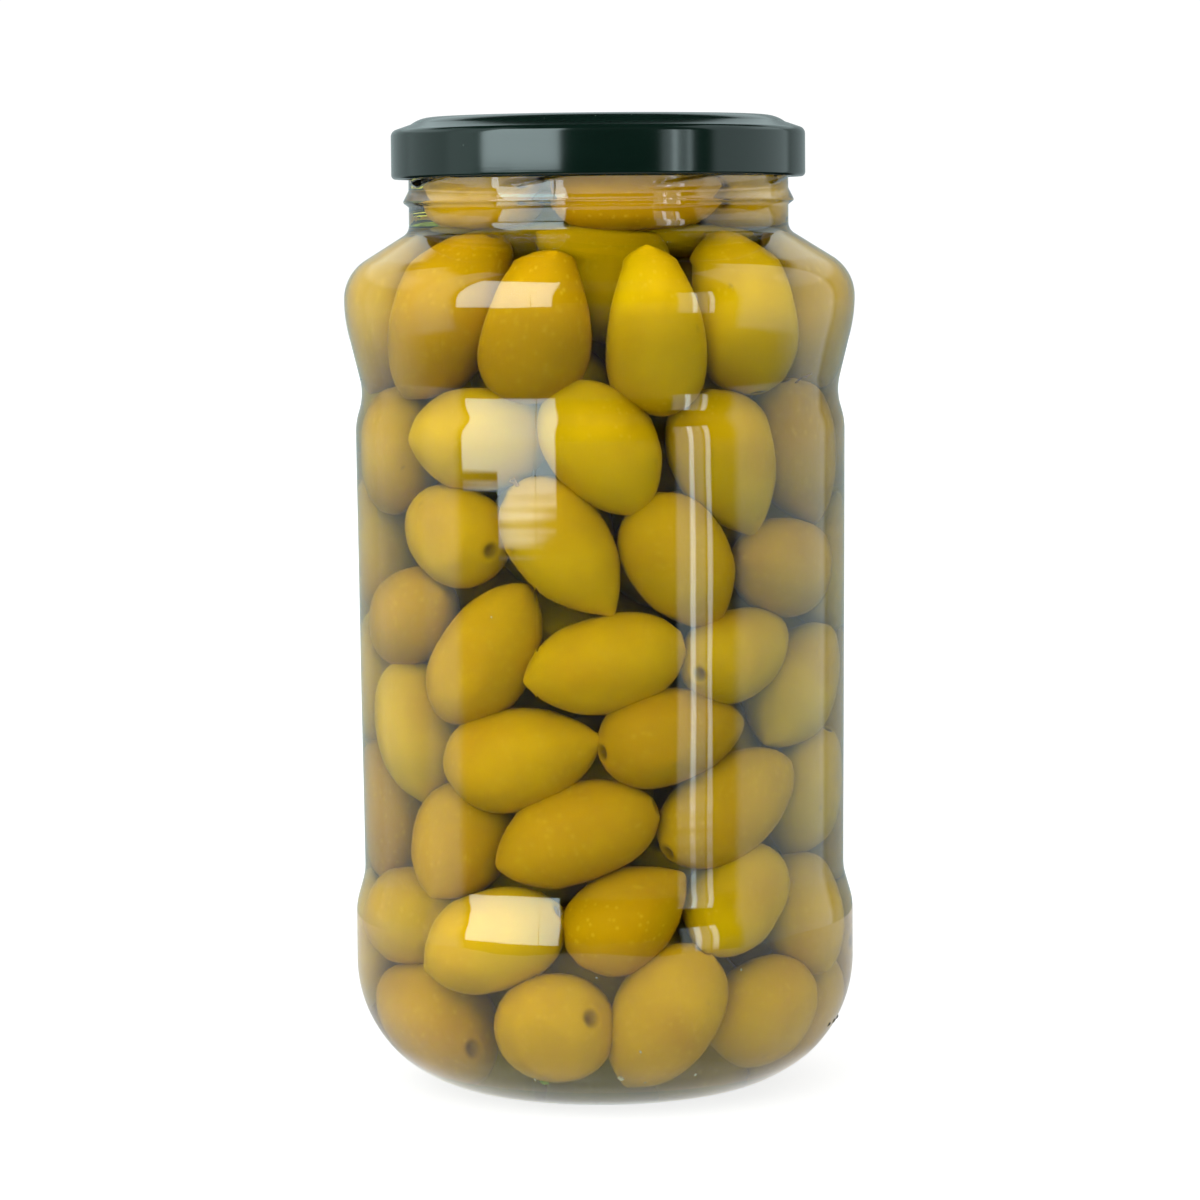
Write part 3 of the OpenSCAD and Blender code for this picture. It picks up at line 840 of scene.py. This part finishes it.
def makeStalks(place, axis, length):
    random = np.random.default_rng(olives["seed"] + 1)
    lining = Lining()
    points, faces = [], []
    around, rings = 12, 9
    turns = np.linspace(0, 2 * math.pi, around, endpoint=False)
    for i, long, thick, lean in stalks:
        back = -axis[i]
        # it leans towards the glass
        outward = place[i] * [1, 1, 0]
        side = outward - back * np.dot(outward, back)
        side /= np.linalg.norm(side)
        third = np.cross(back, side)
        start = place[i] + back * (length[i] / 2 - 1.6) + side * 2.4
        first = len(points)
        for ring in range(rings):
            t = ring / (rings - 1)
            bow = math.radians(lean) * (0.6 + 0.4 * t)
            middle = start + (back * math.cos(bow) + side * math.sin(bow)) * t * (long + 1.2)
            wide = thick / 2 * (0.75 + 0.35 * t ** 3) * (1 - 0.25 * math.sin(math.pi * t))
            for turn in turns:
                r = wide * (1 + 0.14 * math.sin(3 * turn) + random.uniform(-0.06, 0.06))
                torn = random.uniform(-0.15, 0.25) * (ring == rings - 1)
                across = side * math.cos(turn) + third * math.sin(turn)
                points.append(middle + across * r + back * torn)
        points += [start, np.mean(points[-around:], axis=0) - back * 0.2]
        faces += closedFaces(rings, around, first)
    points = np.array(points)
    r = np.hypot(points[:, 0], points[:, 1])
    limit = lining.radius(points[:, 2]) - olives["skinGap"]
    points[:, :2] *= np.minimum(1, limit / r)[:, None]
    piece = makePiece("olive_stalks", points, faces, [oliveStalk()])
    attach(piece, "root")


def makeCrumbs():
    random = np.random.default_rng(olives["seed"] + 2)
    lining = Lining()
    points, faces = [], []
    around = 8
    steps = np.linspace(0, math.pi, 7)[1:-1]
    wides, ups = np.sin(steps), -np.cos(steps)
    turns = np.linspace(0, 2 * math.pi, around, endpoint=False)
    for direction, height, size, inward in crumbs:
        outward, right = turned(direction)
        middle = outward * (lining.radius(height) - inward) + [0, 0, height]
        if height < lining.sideZ[0]:
            outer = np.interp(height, lining.floorZ, lining.floorR)
            middle = outward * (outer - inward) + [0, 0, height]
        tilt = random.uniform(0, math.pi)
        long = right * math.cos(tilt) + np.array([0, 0, 1]) * math.sin(tilt)
        short = np.cross(long, outward)
        first = len(points)
        for wide, up in zip(wides, ups):
            for turn in turns:
                r = size / 2 * wide * random.uniform(0.6, 1.15)
                across = short * math.cos(turn) + outward * math.sin(turn) * 0.6
                points.append(middle + long * up * size * 0.7 + across * r)
        points += [middle - long * size * 0.7, middle + long * size * 0.7]
        faces += closedFaces(len(wides), around, first)
    piece = makePiece("pulp_crumbs", points, faces, [olivePulp()])
    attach(piece, "root")


makeStalks(*olivePlaces)
makeCrumbs()
print("stalks and crumbs made")


studio = {
    "floorNear": 262, "floorFar": 6000, "floorColour": "#9C9C9A", "floorGlow": 0.8,
    # the under-jar glow and its edges (millimetres out from the axis) on the next line are painted
    # light: a brighter disc of board seen only in the glass
    "floorMirrored": 0.4, "floorPaintedGlow": 1.0, "paintedGlowEdge": (38, 50), "floorTooth": 40.0,
    "backdrop": 1.05,            # what the camera sees behind the jar
    "softLight": 1.15,           # the light on all matt surfaces
    "softBase": 0.22,            # the share of it that comes from all round
    "lightInside": 3.2,          # how much more of it reaches what lies in the glass
    "cool": "#E8FDFF",           # the tint of what polished surfaces mirror
}
# The rest of the light on matt surfaces: where it comes from, its share and how narrow it is
softLights = [
    ((-0.58, -0.66, 0.48), 1.75, 3.0),
    ((0.75, -0.6, 0.2), 0.3, 2.0),
    ((0, 0, 1), 0.6, 1.0),
]
# What polished surfaces mirror: directions, heights above level, strength and softness of edge
mirrored = {
    "dark front": ((-190, 190), (-100, 100), 0.015, (1, 1)),
    "window, left": ((-67, -49), (-4.0, 45), 6.5, (0.5, 0.3)),
    "window, right": ((-49, -21), (-4.7, 45), 6.5, (0.5, 0.4)),
    "left card": ((-91, -70.5), (-18, 60), 1.08, (3, 2)),
    "left side": ((-130, -91), (-18, 50), 0.75, (3, 3)),
    "left back": ((-190, -130), (-18, 36), 0.55, (3, 3)),
    "left top": ((-190, -100), (18, 36), 0.5, (8, 3)),
    "pale strip": ((35, 49), (-9, 18), 1.5, (1, 1)),
    "bright strip": ((41.5, 44), (-8.8, 18), 6.0, (0.4, 1)),
    "thin strip": ((50, 52.6), (-8.8, 18), 5.0, (0.4, 1)),
    "right card": ((66, 130), (-18, 60), 1.1, (3, 2)),
    "right back": ((130, 190), (-18, 36), 0.45, (8, 3)),
    "right top": ((100, 190), (18, 36), 0.55, (8, 3)),
    "ceiling": ((-70.5, 66), (24, 50), 0.08, (3, 3)),
}


def betweenEdges(tree, value, low, high, soft):
    rise = remap(tree, value, low - soft, low + soft, interpolation_type="SMOOTHSTEP")
    fall = remap(tree, value, high - soft, high + soft, 1.0, 0.0, interpolation_type="SMOOTHSTEP")
    return calc(tree, "MULTIPLY", rise, fall)


def lightWorld():
    world = bpy.data.worlds.new("soft studio")
    bpy.context.scene.world = world
    world.use_nodes = True
    world.cycles.sampling_method = "NONE"
    tree = world.node_tree
    tree.nodes.clear()
    way = addNode(tree, "TexCoord").outputs["Generated"]
    parts = addNode(tree, "SeparateXYZ", {0: way}).outputs
    front = calc(tree, "MULTIPLY", parts["Y"], -1.0)
    sideways = calc(tree, "ARCTAN2", parts["X"], front)
    direction = calc(tree, "DEGREES", sideways)
    up = calc(tree, "ARCSINE", parts["Z"])
    height = calc(tree, "DEGREES", up)
    total = None
    for sides, heights, strength, edges in mirrored.values():
        across = betweenEdges(tree, direction, *sides, edges[0])
        upright = betweenEdges(tree, height, *heights, edges[1])
        both = calc(tree, "MULTIPLY", across, upright)
        lit = calc(tree, "MULTIPLY", both, strength)
        if total is not None:
            lit = calc(tree, "ADD", total, lit)
        total = lit
    # matt surfaces are lit by a broad light from the left front, a weaker one from the
    # right front, the ceiling and the pale surroundings
    level = studio["softLight"]
    soft = studio["softBase"] * level
    for towards, share, power in softLights:
        facing = addNode(tree, "VectorMath", {0: way, 1: Vector(towards).normalized()},
                         operation="DOT_PRODUCT").outputs["Value"]
        front = calc(tree, "MAXIMUM", facing, 0.0)
        lobe = calc(tree, "POWER", front, power)
        soft = calc(tree, "MULTIPLY_ADD", lobe, share * level, soft)
    path = addNode(tree, "LightPath").outputs
    inside = calc(tree, "GREATER_THAN", path["Transmission Depth"], 0.5)
    gain = remap(tree, inside, 0.0, 1.0, 1.0, studio["lightInside"])
    soft = calc(tree, "MULTIPLY", soft, gain)
    matt = calc(tree, "GREATER_THAN", path["Diffuse Depth"], 0.5)
    # three backgrounds, so that each kind of ray works out only its own
    polished = addNode(tree, "Background", {"Color": linear(studio["cool"]),
                                            "Strength": total}).outputs[0]
    even = addNode(tree, "Background", {"Color": (1, 1, 1, 1), "Strength": soft}).outputs[0]
    behind = addNode(tree, "Background", {"Color": (1, 1, 1, 1),
                                          "Strength": studio["backdrop"]}).outputs[0]
    lit = addNode(tree, "MixShader", {0: matt, 1: polished, 2: even}).outputs[0]
    seen = addNode(tree, "MixShader", {0: path["Is Camera Ray"], 1: lit, 2: behind}).outputs[0]
    addNode(tree, "OutputWorld", {"Surface": seen})


def paleFloor():
    material, tree = newMaterial("pale matt board")
    place = addNode(tree, "TexCoord").outputs["Object"]
    tooth = noise(tree, place, studio["floorTooth"])
    rough = remap(tree, tooth, 0.0, 1.0, 0.8, 0.9)
    path = addNode(tree, "LightPath").outputs
    seen = calc(tree, "MAXIMUM", path["Is Camera Ray"], path["Is Transmission Ray"])
    # painted glow: under the jar the board's emission is raised in what the glass mirrors, a painted
    # pool of light that stands in for light falling through the glass
    away = addNode(tree, "VectorMath", {0: place}, operation="LENGTH").outputs["Value"]
    near, far = studio["paintedGlowEdge"]
    mirroredPaintedGlow = remap(tree, away, near * mm, far * mm, studio["floorPaintedGlow"], studio["floorMirrored"])
    glow = addNode(tree, "Mix", {"Factor": seen, "A": mirroredPaintedGlow, "B": studio["floorGlow"]},
                   data_type="FLOAT").outputs["Result"]
    shader = addNode(tree, "BsdfPrincipled", {
        "Base Color": linear(studio["floorColour"]), "Roughness": rough, "Specular IOR Level": 0.1,
        "Emission Color": (1, 1, 1, 1), "Emission Strength": glow})
    finishMaterial(tree, shader.outputs[0])
    return material


def makeFloor():
    board = paleFloor()
    angles = np.arange(0, 360, 5.0)
    near = turnedPoints([(studio["floorNear"], 0)], angles).reshape(-1, 3)
    centre = makePiece("floor_near", near, [tuple(range(len(angles)))], [board])
    ring = turnedPoints([(studio["floorFar"], 0), (studio["floorNear"], 0)], angles).reshape(-1, 3)
    outer = makePiece("floor_far", ring, ringFaces(2, len(angles)), [board])
    outer.visible_glossy = False  # only the floor close to the jar is mirrored in it


lightWorld()
makeFloor()
bpy.context.scene.view_settings.view_transform = "Standard"
bpy.context.scene.cycles.diffuse_bounces = 2   # keeps the gaps between the olives deep
bpy.context.scene.cycles.max_bounces = 8       # no more than the glass needs
print("floor and light made")
